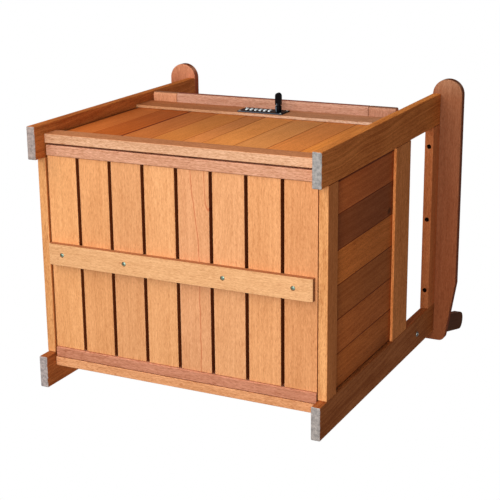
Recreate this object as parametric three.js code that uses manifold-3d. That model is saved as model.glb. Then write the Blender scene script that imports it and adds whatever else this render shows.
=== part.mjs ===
// A hardwood garden armchair whose seat is the lid of a storage box.
// Millimetres, +Z up, the front faces -Y, x = 0 is the middle, z = 0 is the floor. The pieces are
// placed with y = 0 at the front edges of the legs, and the whole is then centred in y.

import * as THREE from 'three';
import { mergeVertices } from 'three/addons/utils/BufferGeometryUtils.js';
import Module from 'manifold-3d';

const wasm = await Module();
wasm.setup();

// ---------------------------------------------------------------- driving dimensions

const GAP = 0.3; // air left between pieces that touch

// the four flat legs and the stock that the frame is cut from
const WIDTH = 600; // over the outer faces of the legs
const DEPTH = 524; // over the front and rear edges of the legs
const BOARD = 18; // thickness of the frame boards
const LEG_WIDTH = 64;
const LEG_HEIGHT = 633;

// the box
const BOX_BOTTOM = 31; // underside of the bottom rails
const FRONT_SETBACK = 18; // front rails stand behind the front edge of the legs
const REAR_SETBACK = 37.5;
const FRONT_RAIL_HEIGHT = 40;
const SIDE_RAIL_TOP = 75;
const UPPER_RAIL_BOTTOM = 369;
const SEAT_RAIL_TOP = 452;
const BOX_TOP = 430; // what the lid lies on

// tongue-and-groove boards, drawn as one panel on each side of the box
const PANEL_THICKNESS = 9;
const PANEL_RECESS = 6.5; // behind the face of the rails
const PANEL_BOARD = 65.4; // what shows of one board
const GROOVE_DEPTH = 8;
const JOINT_HALF_WIDTH = 0.9;
const JOINT_DEPTH = 1.1;
const SIDE_PANEL_SHRINKAGE = 3.3; // open joint at the rear legs

// the slatted floor
const SLAT_COUNT = 8;
const SLAT_WIDTH = 64;
const SLAT_PITCH = 70.7;
const SLAT_BOTTOM = 34;
const CLEAT_DEPTH = 20.5;
const CLEAT_TOP = 52;
const FRONT_CLEAT_GAP = 3.5;
const REAR_CLEAT_GAP = 1;
const CLEAT_END_GAP = 2.3;
const TENON_LENGTH = 6;
const TENON_HEIGHT = 6;
const BATTEN_X = [-278, 275];
const BATTEN_WIDTH = 42;
const BATTEN_THICKNESS = 13;
const BATTEN_CENTRE_Y = 252;
const BATTEN_CHAMFER = [8, 2.2]; // along the batten and up, at both ends of its underside
const BATTEN_SCREW_X = [-248, -109, 99, 238];
const BATTEN_HOLE_RADIUS = 4.5;
const BATTEN_HOLE_DEPTH = 3;

// the lid and the board that it is hinged to
const LID_WIDTH = 548;
const LID_FRONT = -1;
const LID_REAR = 440;
const STILE_WIDTH = 57;
const LID_BOARD_COUNT = 5;
const LID_BOARD_DEPTH = 82;
const LID_NOSE = 6; // radius of the front edges
const HINGE_BOARD_FRONT = 443.5;
const LEDGER = 18;

// the continuous hinge
const HINGE_LENGTH = 480;
const HINGE_KNUCKLES = 9;
const KNUCKLE_RADIUS = 3.5;
const HINGE_PIN_RADIUS = 1.5;
const HINGE_SLACK = 0.4;
const LEAF_THICKNESS = 1.5;
const LEAF_WIDTH = 20; // from the pin

// the arms
const ARM_THICKNESS = 18;
const ARM_WIDTH = 63.5;
const ARM_FRONT = -30.5;
const ARM_REAR = 544;
const ARM_TAPER_START = 410;
const ARM_TAPER = 20; // lost from the outer edge at the rear
const ARM_CORNER = 14;
const ARM_RAIL_HEIGHT = 41;
const ARM_SCREW_PITCH = 157;
const ARM_HOLE_RADIUS = 4.8;
const ARM_PILOT_RADIUS = 2.3;
const ARM_HOLE_DEPTH = 26;

// the backrest: its posts pass the rear legs at BACK_Y, BACK_Z and lean back
const BACK_Y = 493;
const BACK_Z = 519;
const BACK_LEAN = THREE.MathUtils.degToRad(14);
const BACK_REACH = 411; // from there to the top of the posts
const POST_WIDTH = 41;
const BACK_RAIL_HEIGHT = 43;
const BACK_SLAT_COUNT = 3;
const BACK_SLAT_THICKNESS = 14;
const BACK_TOP_RAIL_TOP = 397;
const BACK_BOTTOM_RAIL_BOTTOM = -58;
const BACK_BOW = 32; // the rails' middle is that far behind their ends
const BACK_BOW_STEPS = 24;

// the combination lock on the front top rail
const PLATE_LEFT = -45;
const PLATE_RIGHT = 54;
const PLATE_BOTTOM = 375;
const PLATE_TOP = 416;
const PLATE_THICKNESS = 2;
const CASE_MARGIN = 3; // the plate overlaps the rail by this at each end
const CASE_BOTTOM = 384;
const CASE_TOP = 412;
const CASE_DEPTH = 21.8;
const CASE_WALL = 1.5;
const LOCK_CLEARANCE = 0.4; // round the wheels in their slots
const WHEEL_COUNT = 6;
const WHEEL_PITCH = 10.1;
const WHEEL_WIDTH = 4.6;
const WHEEL_RADIUS = 12;
const WHEEL_BORE = 2.6;
const WHEEL_AXLE = 2.2;
const WHEEL_FIRST_X = -33;
const WHEEL_Y = 25.5;
const WHEEL_Z = 398;
const WHEEL_DIGITS = 10;
const WHEEL_NOTCH = 0.9;
const WHEEL_NOTCH_HALF_ANGLE = 5; // degrees
const TURN_X = 38;
const TURN_Z = 395;
const SPINDLE_RADIUS = 4;
const SPINDLE_TIP_RADIUS = 3;
const SPINDLE_OVERRUN = 2; // beyond the cam
const BLADE_TIP = -23;
const BLADE_REAR = 1.5;
const BLADE_HALF_WIDTH = 6.2;
const BLADE_THICKNESS = 7;
const STEM_RADIUS = 4.8;
const BOSS_RADIUS = 6.6;
const BOSS_FOOT_RADIUS = 5.4; // at the plate
const BOSS_FRONT = 3;
const BOSS_FULL = [4.2, 11]; // where it has its full radius
const CAM_Y = 46.5;
const CAM_THICKNESS = 3;
const CAM_REACH = 28;
const CAM_HALF_WIDTH = 4;
const CAM_HUB = 7;
const STRIKE_X = [12, 26];
const STRIKE_THICKNESS = 2;
const STRIKE_FOOT_LAP = 1.5; // in front of the cam
const STRIKE_CLEARANCE = 1.5; // under the cam
const STRIKE_STAND_OFF = 6; // behind the cam
const STRIKE_FLANGE = 22;

// ---------------------------------------------------------------- materials

const FINISHES = {
  light: [0xe3a266, 0.62],
  tan: [0xd99a60, 0.6],
  rose: [0xc98a68, 0.62],
  orange: [0xb9713a, 0.55],
  brown: [0x8a4f2a, 0.55],
  dark: [0x6e3d20, 0.55],
};

const wood = (finish) => {
  const [color, roughness] = FINISHES[finish];
  return new THREE.MeshStandardMaterial({ color, roughness, metalness: 0 });
};
const steel = () => new THREE.MeshStandardMaterial({ color: 0xb9bcc0, roughness: 0.35, metalness: 1 });
const black = () => new THREE.MeshStandardMaterial({ color: 0x17181b, roughness: 0.38, metalness: 0.3 });

// ---------------------------------------------------------------- shapes

const chair = new THREE.Group();

function addPiece(name, geometry, material, parent = chair) {
  const mesh = new THREE.Mesh(geometry, material);
  mesh.name = name;
  parent.add(mesh);
  return mesh;
}

const centred = (size) => [-size / 2, size / 2];

function boxGeometry([x0, x1], [y0, y1], [z0, z1]) {
  const geometry = new THREE.BoxGeometry(x1 - x0, y1 - y0, z1 - z0);
  geometry.translate((x0 + x1) / 2, (y0 + y1) / 2, (z0 + z1) / 2);
  return geometry;
}

function prism(points, from, to) {
  const shape = new THREE.Shape(points.map(([a, b]) => new THREE.Vector2(a, b)));
  const geometry = new THREE.ExtrudeGeometry(shape, { depth: to - from, bevelEnabled: false });
  return geometry.translate(0, 0, from);
}

const asColumns = (x, y, z) => new THREE.Matrix4().makeBasis(
  new THREE.Vector3(...x), new THREE.Vector3(...y), new THREE.Vector3(...z));

// a section in (y, z) drawn along x, in (x, z) along y, and in (x, y) along z
const alongX = (points, x0, x1) => prism(points, x0, x1)
  .applyMatrix4(asColumns([0, 1, 0], [0, 0, 1], [1, 0, 0]));
const alongY = (points, y0, y1) => prism(points.map(([x, z]) => [z, x]), y0, y1)
  .applyMatrix4(asColumns([0, 0, 1], [1, 0, 0], [0, 1, 0]));
const alongZ = (points, z0, z1) => prism(points, z0, z1);

function rod(radius, from, to, segments = 24) {
  const start = new THREE.Vector3(...from);
  const span = new THREE.Vector3(...to).sub(start);
  const geometry = new THREE.CylinderGeometry(radius, radius, span.length(), segments);
  const turn = new THREE.Quaternion().setFromUnitVectors(
    new THREE.Vector3(0, 1, 0), span.clone().normalize());
  geometry.applyQuaternion(turn);
  return geometry.translate(...start.addScaledVector(span, 0.5));
}

function arc(cx, cy, radius, fromDegrees, toDegrees, steps) {
  return Array.from({ length: steps + 1 }, (_, i) => {
    const angle = THREE.MathUtils.degToRad(fromDegrees + ((toDegrees - fromDegrees) * i) / steps);
    return [cx + radius * Math.cos(angle), cy + radius * Math.sin(angle)];
  });
}

function toManifold(geometry) {
  const bare = geometry.clone();
  bare.deleteAttribute('normal');
  bare.deleteAttribute('uv');
  const merged = mergeVertices(bare, 1e-4);
  return new wasm.Manifold(new wasm.Mesh({
    numProp: 3,
    vertProperties: new Float32Array(merged.attributes.position.array),
    triVerts: new Uint32Array(merged.index.array),
  }));
}

function toGeometry(solid) {
  const mesh = solid.getMesh();
  const geometry = new THREE.BufferGeometry();
  geometry.setAttribute('position', new THREE.BufferAttribute(mesh.vertProperties, 3));
  geometry.setIndex(new THREE.BufferAttribute(mesh.triVerts, 1));
  geometry.computeVertexNormals();
  return geometry;
}

const join = (geometries) => geometries.map(toManifold).reduce((sum, next) => sum.add(next));
const cut = (solid, tools) => tools.map(toManifold).reduce((rest, tool) => rest.subtract(tool), solid);

const SIDES = [['left', -1], ['right', 1]];
const mirrored = (side, [a, b]) => (side < 0 ? [-b, -a] : [a, b]);

// ---------------------------------------------------------------- frame

const LEG_OUTER = WIDTH / 2;
const LEG_INNER = LEG_OUTER - BOARD;
const RAIL_SPAN = [-LEG_INNER + GAP, LEG_INNER - GAP];
const SIDE_SPAN = [LEG_WIDTH + GAP, DEPTH - LEG_WIDTH - GAP];
const REAR_FACE = DEPTH - REAR_SETBACK;
const REAR_RAIL_FRONT = REAR_FACE - BOARD;

function addLegs() {
  for (const [word, side] of SIDES) {
    const x = mirrored(side, [LEG_INNER, LEG_OUTER]);
    addPiece(`front_leg_${word}`, boxGeometry(x, [0, LEG_WIDTH], [0, LEG_HEIGHT]), wood('brown'));
    addPiece(`rear_leg_${word}`,
      boxGeometry(x, [DEPTH - LEG_WIDTH, DEPTH], [0, LEG_HEIGHT]), wood('brown'));
  }
}

// the section of a rail with a groove for the panel in one edge; u runs through its thickness
function groovedSection(u0, u1, v0, v1, panel, edge) {
  const [g0, g1] = [panel - GAP, panel + PANEL_THICKNESS + GAP];
  if (edge === 'top') {
    const floor = v1 - GROOVE_DEPTH;
    return [[u0, v0], [u1, v0], [u1, v1], [g1, v1], [g1, floor], [g0, floor], [g0, v1], [u0, v1]];
  }
  const roof = v0 + GROOVE_DEPTH;
  return [[u0, v0], [g0, v0], [g0, roof], [g1, roof], [g1, v0], [u1, v0], [u1, v1], [u0, v1]];
}

const FRONT_PANEL_Y = FRONT_SETBACK + PANEL_RECESS;
const REAR_PANEL_Y = REAR_FACE - PANEL_RECESS - PANEL_THICKNESS;
const SIDE_PANEL_X = LEG_OUTER - PANEL_RECESS - PANEL_THICKNESS;
const FRONT_RAIL_TOP = BOX_BOTTOM + FRONT_RAIL_HEIGHT;

function addCrossRails() {
  const lower = (y, panel) => alongX(
    groovedSection(y, y + BOARD, BOX_BOTTOM, FRONT_RAIL_TOP, panel, 'top'), ...RAIL_SPAN);
  const upper = (y, panel) => alongX(
    groovedSection(y, y + BOARD, UPPER_RAIL_BOTTOM, BOX_TOP, panel, 'bottom'), ...RAIL_SPAN);
  const lockPocket = boxGeometry(
    [PLATE_LEFT + CASE_MARGIN - GAP, PLATE_RIGHT - CASE_MARGIN + GAP],
    [FRONT_SETBACK - 1, FRONT_SETBACK + BOARD + 1],
    [CASE_BOTTOM - GAP, CASE_TOP + GAP]);
  addPiece('front_bottom_rail', lower(FRONT_SETBACK, FRONT_PANEL_Y), wood('tan'));
  addPiece('rear_bottom_rail', lower(REAR_RAIL_FRONT, REAR_PANEL_Y), wood('tan'));
  addPiece('front_top_rail',
    toGeometry(cut(toManifold(upper(FRONT_SETBACK, FRONT_PANEL_Y)), [lockPocket])), wood('orange'));
  addPiece('rear_top_rail', upper(REAR_RAIL_FRONT, REAR_PANEL_Y), wood('orange'));
}

function addSideRails() {
  for (const [word, side] of SIDES) {
    const place = (points) => points.map(([x, z]) => [side * x, z]);
    const section = (z0, z1, edge) => groovedSection(LEG_INNER, LEG_OUTER, z0, z1, SIDE_PANEL_X, edge);
    const lower = alongY(place(section(BOX_BOTTOM, SIDE_RAIL_TOP, 'top')), ...SIDE_SPAN);
    const seat = alongY(place(section(UPPER_RAIL_BOTTOM, SEAT_RAIL_TOP, 'bottom')), ...SIDE_SPAN);
    addPiece(`side_bottom_rail_${word}`, lower, wood('light'));
    addPiece(`seat_rail_${word}`, seat, wood('brown'));
    addPiece(`lid_ledger_${word}`, boxGeometry(
      mirrored(side, [LEG_INNER - GAP - LEDGER, LEG_INNER - GAP]),
      [FRONT_SETBACK + BOARD + GAP, REAR_RAIL_FRONT - GAP],
      [BOX_TOP - LEDGER, BOX_TOP]), wood('orange'));
  }
}

// boards side by side, from u0 to u1, with a V joint in both faces at each of the joints
function boardedSection(u0, u1, v0, joints) {
  const v1 = v0 + PANEL_THICKNESS;
  const notch = (u, v, into) => [[u - JOINT_HALF_WIDTH, v], [u, v + into], [u + JOINT_HALF_WIDTH, v]];
  const lower = joints.flatMap((u) => notch(u, v0, JOINT_DEPTH));
  const upper = joints.flatMap((u) => notch(u, v1, -JOINT_DEPTH)).reverse();
  return [[u0, v0], ...lower, [u1, v0], [u1, v1], ...upper, [u0, v1]];
}

function addPanels() {
  const sunk = GROOVE_DEPTH - GAP;
  const crossZ = [FRONT_RAIL_TOP - sunk, UPPER_RAIL_BOTTOM + sunk];
  const sideZ = [SIDE_RAIL_TOP - sunk, UPPER_RAIL_BOTTOM + sunk];

  // four whole boards from each leg and a narrow one in the middle
  const fromLeg = [1, 2, 3, 4].map((n) => LEG_INNER - n * PANEL_BOARD);
  const crossJoints = [...fromLeg.map((x) => -x), ...fromLeg.slice().reverse()];
  const cross = (y) => alongZ(boardedSection(...RAIL_SPAN, y, crossJoints), ...crossZ);
  addPiece('front_panel', cross(FRONT_PANEL_Y), wood('orange'));
  addPiece('rear_panel', cross(REAR_PANEL_Y), wood('orange'));

  const [y0, y1] = [SIDE_SPAN[0], DEPTH - LEG_WIDTH - SIDE_PANEL_SHRINKAGE];
  const sideJoints = [1, 2, 3, 4, 5].map((n) => LEG_WIDTH + n * PANEL_BOARD);
  for (const [word, side] of SIDES) {
    const section = boardedSection(y0, y1, SIDE_PANEL_X, sideJoints).map(([y, x]) => [side * x, y]);
    addPiece(`side_panel_${word}`, alongZ(section, ...sideZ), wood('dark'));
  }
}

// ---------------------------------------------------------------- slatted floor

function addFloor() {
  const frontCleat = FRONT_SETBACK + BOARD + FRONT_CLEAT_GAP;
  const rearCleat = REAR_RAIL_FRONT - REAR_CLEAT_GAP - CLEAT_DEPTH;
  const slatFront = frontCleat + CLEAT_DEPTH + GAP;
  const slatRear = rearCleat - GAP;
  const middle = (SLAT_BOTTOM + CLEAT_TOP) / 2;
  const tenon = [middle - TENON_HEIGHT / 2, middle + TENON_HEIGHT / 2];
  const mortise = [tenon[0] - GAP, tenon[1] + GAP];
  const cleatSpan = [-LEG_INNER + CLEAT_END_GAP, LEG_INNER - CLEAT_END_GAP];

  const cleatSection = (back, face, inward) => [
    [back, BOX_BOTTOM], [face, BOX_BOTTOM], [face, mortise[0]],
    [face - inward * TENON_LENGTH - inward * GAP, mortise[0]],
    [face - inward * TENON_LENGTH - inward * GAP, mortise[1]],
    [face, mortise[1]], [face, CLEAT_TOP], [back, CLEAT_TOP],
  ];
  addPiece('front_floor_cleat',
    alongX(cleatSection(frontCleat, frontCleat + CLEAT_DEPTH, 1), ...cleatSpan), wood('rose'));
  addPiece('rear_floor_cleat',
    alongX(cleatSection(rearCleat + CLEAT_DEPTH, rearCleat, -1).reverse(), ...cleatSpan), wood('rose'));

  const slatSection = [
    [slatFront, SLAT_BOTTOM], [slatRear, SLAT_BOTTOM], [slatRear, tenon[0]],
    [slatRear + TENON_LENGTH, tenon[0]], [slatRear + TENON_LENGTH, tenon[1]], [slatRear, tenon[1]],
    [slatRear, CLEAT_TOP], [slatFront, CLEAT_TOP], [slatFront, tenon[1]],
    [slatFront - TENON_LENGTH, tenon[1]], [slatFront - TENON_LENGTH, tenon[0]], [slatFront, tenon[0]],
  ];
  for (let i = 0; i < SLAT_COUNT; i += 1) {
    const x = (i - (SLAT_COUNT - 1) / 2) * SLAT_PITCH - SLAT_WIDTH / 2;
    addPiece(`floor_slat_${i + 1}`, alongX(slatSection, x, x + SLAT_WIDTH), wood('light'));
  }

  const battenTop = SLAT_BOTTOM - GAP;
  const battenBottom = battenTop - BATTEN_THICKNESS;
  const [battenLeft, battenRight] = BATTEN_X;
  const [run, rise] = BATTEN_CHAMFER;
  const battenSide = [
    [battenLeft + run, battenBottom], [battenRight - run, battenBottom],
    [battenRight, battenBottom + rise], [battenRight, battenTop],
    [battenLeft, battenTop], [battenLeft, battenBottom + rise],
  ];
  const batten = alongY(
    battenSide, BATTEN_CENTRE_Y - BATTEN_WIDTH / 2, BATTEN_CENTRE_Y + BATTEN_WIDTH / 2);
  const holes = BATTEN_SCREW_X.map((x) => rod(BATTEN_HOLE_RADIUS,
    [x, BATTEN_CENTRE_Y, battenBottom - 1], [x, BATTEN_CENTRE_Y, battenBottom + BATTEN_HOLE_DEPTH], 20));
  addPiece('floor_batten', toGeometry(cut(toManifold(batten), holes)), wood('light'));
}

// ---------------------------------------------------------------- lid and hinge

const LID_BOTTOM = BOX_TOP + GAP;
const LID_TOP = LID_BOTTOM + BOARD;

// the section of a piece of the lid, with its front edges rounded where it reaches the front
function lidSection(front, rear) {
  if (front > LID_FRONT) {
    return [[front, LID_BOTTOM], [rear, LID_BOTTOM], [rear, LID_TOP], [front, LID_TOP]];
  }
  return [
    [rear, LID_BOTTOM], [rear, LID_TOP],
    ...arc(front + LID_NOSE, LID_TOP - LID_NOSE, LID_NOSE, 90, 180, 6),
    ...arc(front + LID_NOSE, LID_BOTTOM + LID_NOSE, LID_NOSE, 180, 270, 6),
  ];
}

function addLid() {
  const half = LID_WIDTH / 2;
  for (const [word, side] of SIDES) {
    const stile = alongX(lidSection(LID_FRONT, LID_REAR), ...mirrored(side, [half - STILE_WIDTH, half]));
    addPiece(`lid_stile_${word}`, stile, wood('orange'));
  }
  const boardSpan = half - STILE_WIDTH - GAP;
  const pitch = (LID_REAR - LID_FRONT - LID_BOARD_DEPTH) / (LID_BOARD_COUNT - 1);
  for (let i = 0; i < LID_BOARD_COUNT; i += 1) {
    const y = LID_FRONT + i * pitch;
    addPiece(`lid_board_${i + 1}`,
      alongX(lidSection(y, y + LID_BOARD_DEPTH), -boardSpan, boardSpan), wood('rose'));
  }
  addPiece('hinge_board',
    boxGeometry(RAIL_SPAN, [HINGE_BOARD_FRONT, REAR_FACE], [LID_BOTTOM, LID_TOP]), wood('orange'));
}

// two leaves that lie on the lid and on the hinge board, with their knuckles between them
function addHinge() {
  const y = (LID_REAR + HINGE_BOARD_FRONT) / 2;
  const base = LID_TOP + GAP;
  const z = base + KNUCKLE_RADIUS;
  const end = HINGE_LENGTH / 2;
  const step = HINGE_LENGTH / HINGE_KNUCKLES;
  const clear = KNUCKLE_RADIUS + HINGE_SLACK;

  function leaf(direction, firstKnuckle) {
    const inY = (near, far) => (direction < 0 ? [y - far, y - near] : [y + near, y + far]);
    const solids = [boxGeometry([-end, end], inY(clear, LEAF_WIDTH), [base, base + LEAF_THICKNESS])];
    for (let i = firstKnuckle; i < HINGE_KNUCKLES; i += 2) {
      const x = [-end + i * step + HINGE_SLACK / 2, -end + (i + 1) * step - HINGE_SLACK / 2];
      solids.push(rod(KNUCKLE_RADIUS, [x[0], y, z], [x[1], y, z], 20));
      solids.push(boxGeometry(x, inY(0, clear + 1), [base, base + LEAF_THICKNESS]));
    }
    return join(solids);
  }
  const pin = (radius, over) => rod(radius, [-end - over, y, z], [end + over, y, z], 16);
  addPiece('hinge_fixed_leaf', toGeometry(leaf(1, 0).add(toManifold(pin(HINGE_PIN_RADIUS, 0)))), steel());
  addPiece('hinge_lid_leaf', toGeometry(cut(leaf(-1, 1), [pin(HINGE_PIN_RADIUS + GAP, 1)])), steel());
}

// ---------------------------------------------------------------- arms

function addArms() {
  const radius = ARM_WIDTH / 2;
  const centre = LEG_INNER + radius;
  const outer = LEG_INNER + ARM_WIDTH;
  const taperEnd = ARM_REAR - ARM_CORNER;
  const outline = [
    ...arc(centre, ARM_FRONT + radius, radius, 180, 360, 24),
    [outer, ARM_TAPER_START],
    ...arc(outer - ARM_TAPER - ARM_CORNER, taperEnd, ARM_CORNER, 10, 90, 8),
    [LEG_INNER, ARM_REAR],
  ];
  const armBottom = LEG_HEIGHT + GAP;
  const railBottom = LEG_HEIGHT - ARM_RAIL_HEIGHT;
  const holeX = (LEG_INNER + LEG_OUTER) / 2;
  for (const [word, side] of SIDES) {
    const points = outline.map(([x, y]) => [side * x, y]);
    addPiece(`armrest_${word}`, alongZ(points, armBottom, armBottom + ARM_THICKNESS), wood('brown'));

    const holes = [-1, 0, 1].flatMap((n) => {
      const [x, y] = [side * holeX, DEPTH / 2 + n * ARM_SCREW_PITCH];
      const mouth = railBottom + ARM_HOLE_DEPTH;
      return [
        rod(ARM_HOLE_RADIUS, [x, y, railBottom - 1], [x, y, mouth], 20),
        rod(ARM_PILOT_RADIUS, [x, y, mouth - 1], [x, y, LEG_HEIGHT + 1], 12),
      ];
    });
    const rail = boxGeometry(mirrored(side, [LEG_INNER, LEG_OUTER]), SIDE_SPAN, [railBottom, LEG_HEIGHT]);
    addPiece(`arm_rail_${word}`, toGeometry(cut(toManifold(rail), holes)), wood('brown'));
  }
}

// ---------------------------------------------------------------- backrest

// in the leaning frame: y runs through the thickness, z up the posts, 0 at the passing point
function addBackrest() {
  const back = new THREE.Group();
  back.position.set(0, BACK_Y, BACK_Z);
  back.rotation.x = -BACK_LEAN;
  chair.add(back);

  const half = POST_WIDTH / 2;
  const postInner = LEG_INNER - GAP - BOARD;
  const foot = LID_TOP + GAP - BACK_Z; // the posts stand on the hinge board, cut level
  const footAt = (y) => (foot + y * Math.sin(BACK_LEAN)) / Math.cos(BACK_LEAN);
  const postSection = [
    [-half, footAt(-half)], [half, footAt(half)],
    ...arc(0, BACK_REACH - half, half, 0, 180, 16),
  ];
  for (const [word, side] of SIDES) {
    addPiece(`backrest_post_${word}`,
      alongX(postSection, ...mirrored(side, [postInner, LEG_INNER - GAP])), wood('dark'), back);
  }

  const span = [-postInner + GAP, postInner - GAP];
  const bow = (x) => BACK_BOW * (1 - (x / postInner) ** 2);
  const curve = (y) => Array.from({ length: BACK_BOW_STEPS + 1 }, (_, i) => {
    const x = THREE.MathUtils.lerp(...span, i / BACK_BOW_STEPS);
    return [x, y + bow(x)];
  });
  const railSection = [...curve(half - BOARD), ...curve(half).reverse()];
  const topRail = [BACK_TOP_RAIL_TOP - LEG_WIDTH, BACK_TOP_RAIL_TOP];
  const bottomRail = [BACK_BOTTOM_RAIL_BOTTOM, BACK_BOTTOM_RAIL_BOTTOM + BACK_RAIL_HEIGHT];
  addPiece('backrest_top_rail', alongZ(railSection, ...topRail), wood('brown'), back);
  addPiece('backrest_bottom_rail', alongZ(railSection, ...bottomRail), wood('brown'), back);

  const slatZ = [bottomRail[1] + GAP, topRail[0] - GAP];
  const spacing = (2 * postInner - BACK_SLAT_COUNT * LEG_WIDTH) / (BACK_SLAT_COUNT + 1);
  for (let i = 0; i < BACK_SLAT_COUNT; i += 1) {
    const x = -postInner + (i + 1) * spacing + (i + 0.5) * LEG_WIDTH;
    const slat = boxGeometry(centred(LEG_WIDTH), centred(BACK_SLAT_THICKNESS), slatZ);
    slat.rotateZ(Math.atan((-2 * BACK_BOW * x) / postInner ** 2));
    slat.translate(x, half - BOARD / 2 + bow(x), 0);
    addPiece(`backrest_slat_${i + 1}`, slat, wood('brown'), back);
  }
}

// ---------------------------------------------------------------- combination lock

const PLATE_BACK = FRONT_SETBACK - GAP;
const PLATE_FRONT = PLATE_BACK - PLATE_THICKNESS;
const wheelX = (i) => WHEEL_FIRST_X + i * WHEEL_PITCH;

function addLockBody() {
  const caseX = [PLATE_LEFT + CASE_MARGIN, PLATE_RIGHT - CASE_MARGIN];
  const caseBack = PLATE_BACK + CASE_DEPTH;
  const slotHalf = WHEEL_WIDTH / 2 + LOCK_CLEARANCE;
  const cavityX = [wheelX(0) - slotHalf - 1, wheelX(WHEEL_COUNT - 1) + slotHalf + 1];
  const slotReach = Math.sqrt(WHEEL_RADIUS ** 2 - (WHEEL_Y - PLATE_BACK) ** 2) + GAP;
  const slots = Array.from({ length: WHEEL_COUNT }, (_, i) => boxGeometry(
    [wheelX(i) - slotHalf, wheelX(i) + slotHalf],
    [PLATE_FRONT - 1, PLATE_BACK + 1],
    [WHEEL_Z - slotReach, WHEEL_Z + slotReach]));
  const shell = join([
    boxGeometry([PLATE_LEFT, PLATE_RIGHT], [PLATE_FRONT, PLATE_BACK], [PLATE_BOTTOM, PLATE_TOP]),
    boxGeometry(caseX, [PLATE_BACK - 1, caseBack], [CASE_BOTTOM, CASE_TOP]),
  ]);
  const cavityZ = [CASE_BOTTOM + CASE_WALL, CASE_TOP - CASE_WALL];
  const hollow = cut(shell, [
    boxGeometry(cavityX, [PLATE_BACK, caseBack - CASE_WALL], cavityZ),
    ...slots,
    rod(SPINDLE_RADIUS + GAP, [TURN_X, PLATE_FRONT - 1, TURN_Z], [TURN_X, caseBack + 1, TURN_Z], 24),
  ]);
  const [axleFrom, axleTo] = [cavityX[0] - 0.5, cavityX[1] + 0.5];
  const axle = rod(WHEEL_AXLE, [axleFrom, WHEEL_Y, WHEEL_Z], [axleTo, WHEEL_Y, WHEEL_Z], 12);
  addPiece('lock_body', toGeometry(hollow.add(toManifold(axle))), black());
}

// each wheel has one flat for each digit, with a finger notch between flats
function addNumberWheels() {
  const step = 360 / WHEEL_DIGITS;
  const half = WHEEL_NOTCH_HALF_ANGLE;
  const rim = Array.from({ length: WHEEL_DIGITS }, (_, i) => [
    ...arc(0, 0, WHEEL_RADIUS, i * step + half, (i + 1) * step - half, 2),
    arc(0, 0, WHEEL_RADIUS - WHEEL_NOTCH, (i + 1) * step, (i + 1) * step, 1)[0],
  ]).flat();
  for (let i = 0; i < WHEEL_COUNT; i += 1) {
    const disc = alongX(rim, -WHEEL_WIDTH / 2, WHEEL_WIDTH / 2);
    const bore = rod(WHEEL_BORE, [-WHEEL_WIDTH, 0, 0], [WHEEL_WIDTH, 0, 0], 16);
    const wheel = addPiece(`number_wheel_${i + 1}`, toGeometry(cut(toManifold(disc), [bore])), steel());
    wheel.position.set(wheelX(i), WHEEL_Y, WHEEL_Z);
  }
}

// the thumb turn: a flat blade with a round end on a coned boss, and the spindle behind it
function addThumbTurn() {
  const bossRear = PLATE_FRONT - GAP;
  const spindleEnd = CAM_Y + CAM_THICKNESS + SPINDLE_OVERRUN;
  const blade = alongZ([
    ...arc(0, BLADE_TIP + BLADE_HALF_WIDTH, BLADE_HALF_WIDTH, 180, 360, 16),
    [BLADE_HALF_WIDTH, BLADE_REAR], [-BLADE_HALF_WIDTH, BLADE_REAR],
  ], -BLADE_THICKNESS / 2, BLADE_THICKNESS / 2);
  const profile = [
    [0, BLADE_REAR - 3], [STEM_RADIUS, BLADE_REAR - 3], [STEM_RADIUS, BOSS_FRONT],
    [BOSS_RADIUS, BOSS_FULL[0]], [BOSS_RADIUS, BOSS_FULL[1]],
    [BOSS_FOOT_RADIUS, bossRear], [SPINDLE_RADIUS, bossRear],
    [SPINDLE_RADIUS, CAM_Y - GAP], [SPINDLE_TIP_RADIUS, CAM_Y - GAP],
    [SPINDLE_TIP_RADIUS, spindleEnd], [0, spindleEnd],
  ];
  const turned = new THREE.LatheGeometry(profile.map(([r, y]) => new THREE.Vector2(r, y)), 28);
  const turn = addPiece('thumb_turn', toGeometry(join([blade, turned])), black());
  turn.position.set(TURN_X, 0, TURN_Z);
}

// the cam points up when the lock is open and lies over the foot of the strike when it is shut
function addCamAndStrike() {
  const camSection = [
    ...arc(0, 0, CAM_HUB, 145, 395, 20),
    ...arc(0, CAM_REACH - CAM_HALF_WIDTH, CAM_HALF_WIDTH, 0, 180, 8),
  ];
  const disc = alongY(camSection, CAM_Y, CAM_Y + CAM_THICKNESS);
  const hole = rod(SPINDLE_TIP_RADIUS + GAP, [0, CAM_Y - 1, 0], [0, CAM_Y + CAM_THICKNESS + 1, 0], 20);
  const cam = addPiece('lock_cam', toGeometry(cut(toManifold(disc), [hole])), steel());
  cam.position.set(TURN_X, 0, TURN_Z);

  const top = LID_BOTTOM - GAP;
  const t = STRIKE_THICKNESS;
  const plateY = CAM_Y + CAM_THICKNESS + STRIKE_STAND_OFF;
  const flangeY = plateY + STRIKE_FLANGE;
  const footY = CAM_Y - STRIKE_FOOT_LAP;
  const footTop = TURN_Z - CAM_HALF_WIDTH - STRIKE_CLEARANCE;
  addPiece('lid_strike', alongX([
    [footY, footTop - t], [plateY + t, footTop - t], [plateY + t, top - t], [flangeY, top - t],
    [flangeY, top], [plateY, top], [plateY, footTop], [footY, footTop],
  ], ...STRIKE_X), steel());
}

addLegs();
addCrossRails();
addSideRails();
addPanels();
addFloor();
addLid();
addHinge();
addArms();
addBackrest();
addLockBody();
addNumberWheels();
addThumbTurn();
addCamAndStrike();

const middle = new THREE.Box3().setFromObject(chair, true).getCenter(new THREE.Vector3());
chair.position.y = -middle.y;

export default chair;
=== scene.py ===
"""The looks of a hardwood garden armchair whose seat is the lid of a storage box.

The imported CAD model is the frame. This script rounds its edges, gives every piece a procedural
material, adds the screws, bolts and numerals, and sets the stage, the lights and the camera.
Units are metres, in the row frame.
"""

import math
from typing import NamedTuple

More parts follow.
